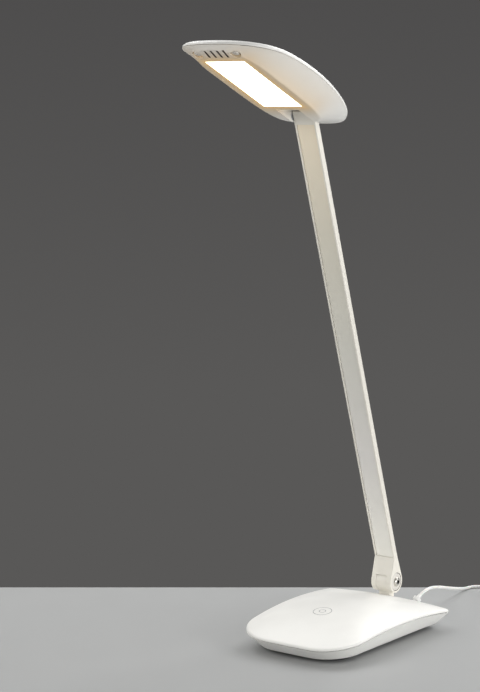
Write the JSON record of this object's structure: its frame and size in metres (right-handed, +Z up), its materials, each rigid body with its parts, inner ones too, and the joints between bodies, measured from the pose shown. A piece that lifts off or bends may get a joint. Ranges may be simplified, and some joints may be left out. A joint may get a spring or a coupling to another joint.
{
  "type": "folding LED desk lamp",
  "caption": "Folding desk lamp with a flat lit panel in a leaf-shaped head, a slim channel arm and a domed, weighted base with a touch switch.",
  "frame": {"origin": "middle of the anti-slip pad, on the surface that the lamp stands on", "axes": "+Z up, the lamp faces -Y, +X to the right as seen from its front"},
  "size_m": [0.1579, 0.4313, 0.5281],
  "materials": {
    "shell_white": "satin moulded",
    "arm_white": "satin paint",
    "arm_alu": "satin paint",
    "cap_white": "satin paint",
    "strip_cream": "satin moulded",
    "pad_rubber": "matt",
    "ballast_steel": "zinc plated",
    "screw_steel": "zinc plated",
    "bolt_steel": "satin nickel",
    "touch_print": "printed",
    "brass_plate": "bright",
    "board_green": "solder mask",
    "black_plastic": "moulded",
    "diffuser_lit": "opal",
    "guide_clear": "polished acrylic",
    "reflector_white": "white film",
    "led_lit": "lit",
    "heat_aluminium": "bare sheet",
    "wire_cover": "PVC",
    "lead_white": "PVC"
  },
  "bodies": {
    "base": {"base_cover": "shell_white", "base_tray": "shell_white", "base_pad": "pad_rubber", "ballast_plate": "ballast_steel", "cover_screws": "screw_steel", "touch_rings": "touch_print", "touch_spring": "brass_plate", "touch_board": "board_green", "touch_screws": "screw_steel", "main_board": "board_green", "board_parts": "black_plastic", "board_standoffs": "brass_plate", "board_screws": "screw_steel", "power_socket": "black_plastic", "neck": "arm_white", "neck_screws": "screw_steel", "hinge_washers": "screw_steel", "lead_plug": "lead_white", "plug_pin": "screw_steel", "power_cord": "lead_white", "cord_coil": "lead_white", "cord_tail": "lead_white", "usb_plug_body": "lead_white", "usb_plug_shell": "screw_steel"},
    "arm": {"clevis": "arm_alu", "hinge_bolt": "bolt_steel", "hinge_nut": "screw_steel", "hinge_caps": "cap_white", "arm_channel": "arm_alu", "arm_strip": "strip_cream", "arm_screws": "screw_steel", "arm_wires": "wire_cover", "knuckle": "arm_alu"},
    "head": {"head_lower_shell": "shell_white", "head_upper_shell": "shell_white", "head_screws": "screw_steel", "diffuser": "diffuser_lit", "light_guide": "guide_clear", "reflector": "reflector_white", "led_boards": "board_green", "leds": "led_lit", "panel_frame": "black_plastic", "heat_plate": "heat_aluminium", "panel_screws": "screw_steel", "head_pin": "bolt_steel", "head_nut": "screw_steel", "head_washers": "screw_steel"}
  },
  "joints": [
    {"name": "arm_tilt", "type": "hinge", "parent": "base", "child": "arm", "pos_m": [0, 0.0734, 0.0368], "axis": [1, 0, 0], "range_deg": [-28, 67]},
    {"name": "head_tilt", "type": "hinge", "parent": "arm", "child": "head", "pos_m": [0, -0.06657, 0.46936], "axis": [1, 0, 0], "range_deg": [-16, 112]}
  ]
}
